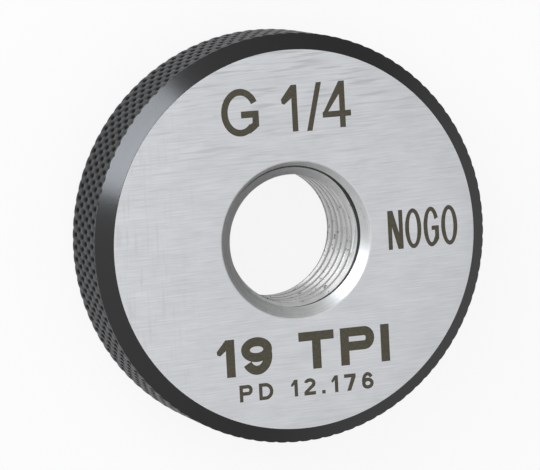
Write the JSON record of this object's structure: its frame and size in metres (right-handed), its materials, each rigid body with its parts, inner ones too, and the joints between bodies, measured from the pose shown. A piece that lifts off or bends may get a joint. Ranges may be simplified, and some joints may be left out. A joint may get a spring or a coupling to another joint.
{
  "type": "thread ring gauge",
  "caption": "Round steel ring gauge for the NO GO test of a pipe thread: threaded bore with countersunk mouths, flat ground faces, chamfered rim with diamond knurl.",
  "frame": {"origin": "centre of the back face, which the gauge lies on", "axes": "+Z along the thread axis towards the marked face, +X along the lines of its marking, from left to right"},
  "size_m": [0.038, 0.038, 0.0095],
  "materials": {
    "steel": "fine ground faces and bright thread, satin black oxide on the knurled rim and its chamfers"
  },
  "bodies": {
    "root": {"gauge_ring": "steel"}
  },
  "joints": []
}
